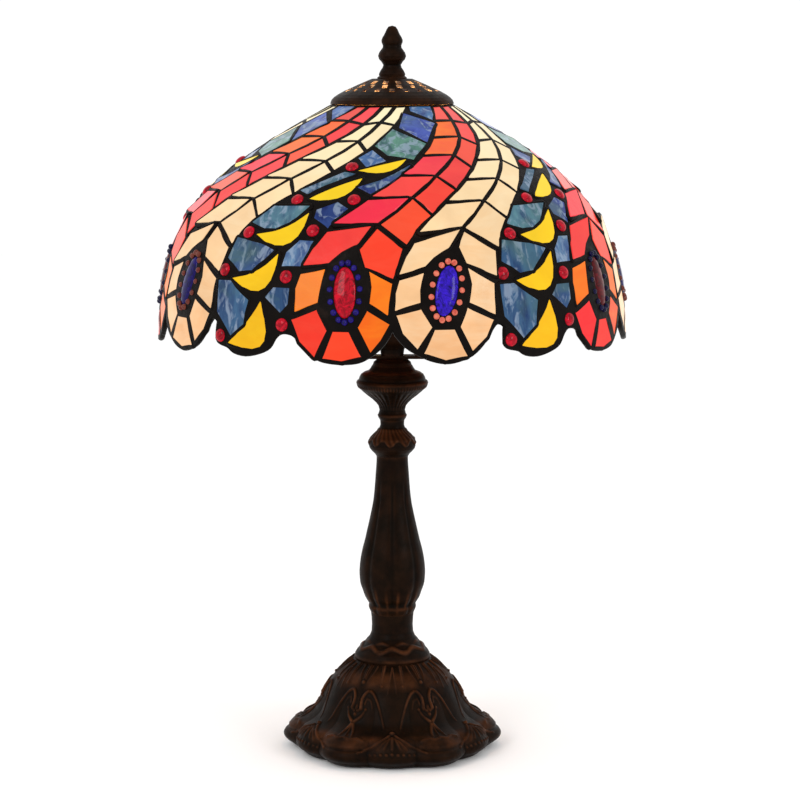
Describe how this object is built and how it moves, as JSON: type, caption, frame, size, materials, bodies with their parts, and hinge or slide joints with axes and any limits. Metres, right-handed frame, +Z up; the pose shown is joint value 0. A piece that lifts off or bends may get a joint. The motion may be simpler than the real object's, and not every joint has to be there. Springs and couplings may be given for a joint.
{
  "type": "table lamp",
  "caption": "Table lamp with a domed, scalloped leaded-glass shade in a feather and crescent pattern, on a fluted bronze stem and lobed bell base.",
  "frame": {"origin": "on the floor, on the lamp's axis, at the centre of the base", "axes": "+Z up the stem; the front of the lamp, with a red and a cream eye either side of the middle, faces -Y; +X to the right"},
  "size_m": [0.308, 0.3057, 0.4773],
  "materials": {
    "cast_bronze": "dark bronze paint over a casting, satin, reddish on the high spots",
    "plain_brass": "drawn brass, satin",
    "zinc_steel": "zinc plated, satin",
    "iron_weight": "rough casting",
    "felt": "dark felt",
    "black_plastic": "moulded, matte",
    "card_sleeve": "insulating card",
    "opal_bulb": "opal, warm, lit",
    "lead_solder": "black-brown patina over solder, satin",
    "red_glass": "opalescent coral red sheet",
    "orange_glass": "opalescent orange sheet",
    "cream_glass": "opalescent cream sheet",
    "blue_glass": "streaky blue and grey-green sheet",
    "yellow_glass": "opalescent yellow sheet",
    "ruby_jewel": "pressed cabochon, glossy",
    "sapphire_jewel": "pressed cabochon, glossy",
    "pink_bead": "small glass bead, glossy"
  },
  "bodies": {
    "root": {"base_casting": "cast_bronze", "base_weight": "iron_weight", "bottom_cover": "zinc_steel", "felt_pad": "felt", "cord_bushing": "black_plastic", "centre_tube": "plain_brass", "tube_washer": "zinc_steel", "tube_nut": "zinc_steel", "lower_collar": "cast_bronze", "baluster": "cast_bronze", "stem_knop": "cast_bronze", "urn": "cast_bronze", "check_ring": "cast_bronze", "harp_saddle": "cast_bronze", "harp_wire": "plain_brass", "harp_ferrules": "plain_brass", "harp_stud": "plain_brass", "holder_cap": "cast_bronze", "holder_shell": "cast_bronze", "holder_sleeve": "card_sleeve", "screw_shell": "plain_brass", "centre_contact": "plain_brass", "lower_washer": "plain_brass"},
    "shade": {"shade_ring": "plain_brass", "leadwork": "lead_solder", "glass_red": "red_glass", "glass_orange": "orange_glass", "glass_cream": "cream_glass", "glass_blue": "blue_glass", "glass_yellow": "yellow_glass", "eye_jewels_red": "ruby_jewel", "eye_jewels_blue": "sapphire_jewel", "beads_blue": "sapphire_jewel", "beads_pink": "pink_bead", "round_jewels": "ruby_jewel", "pierced_cap": "cast_bronze"},
    "finial_lift": {"upper_washer": "cast_bronze"},
    "finial_screw": {"finial_insert": "plain_brass", "finial": "cast_bronze"},
    "bulb_lift": {"bulb_contact": "zinc_steel"},
    "bulb_screw": {"bulb_glass": "opal_bulb", "bulb_cap": "zinc_steel"},
    "switch": {"switch_shaft": "plain_brass", "switch_knob": "cast_bronze"}
  },
  "joints": [
    {"name": "shade_turn", "type": "hinge", "parent": "root", "child": "shade", "pos_m": [0, 0, 0.42], "axis": [0, 0, 1], "continuous": true},
    {"name": "finial_rise", "type": "slide", "parent": "root", "child": "finial_lift", "axis": [0, 0, 1], "range_m": [0, 0.012]},
    {"name": "finial_turn", "type": "hinge", "parent": "finial_lift", "child": "finial_screw", "pos_m": [0, 0, 0.45], "axis": [0, 0, 1], "range_deg": [0, 4600]},
    {"name": "bulb_rise", "type": "slide", "parent": "root", "child": "bulb_lift", "axis": [0, 0, 1], "range_m": [0, 0.02]},
    {"name": "bulb_turn", "type": "hinge", "parent": "bulb_lift", "child": "bulb_screw", "pos_m": [0, 0, 0.32], "axis": [0, 0, 1], "range_deg": [0, 1980]},
    {"name": "switch_turn", "type": "hinge", "parent": "root", "child": "switch", "pos_m": [0, 0.02, 0.292], "axis": [0, 1, 0], "continuous": true}
  ],
  "couplings": [
    {"joint": "finial_turn", "follows": "finial_rise", "rad_per_m": 6684.2},
    {"joint": "bulb_rise", "follows": "bulb_turn", "m_per_rad": 0.00057757}
  ]
}
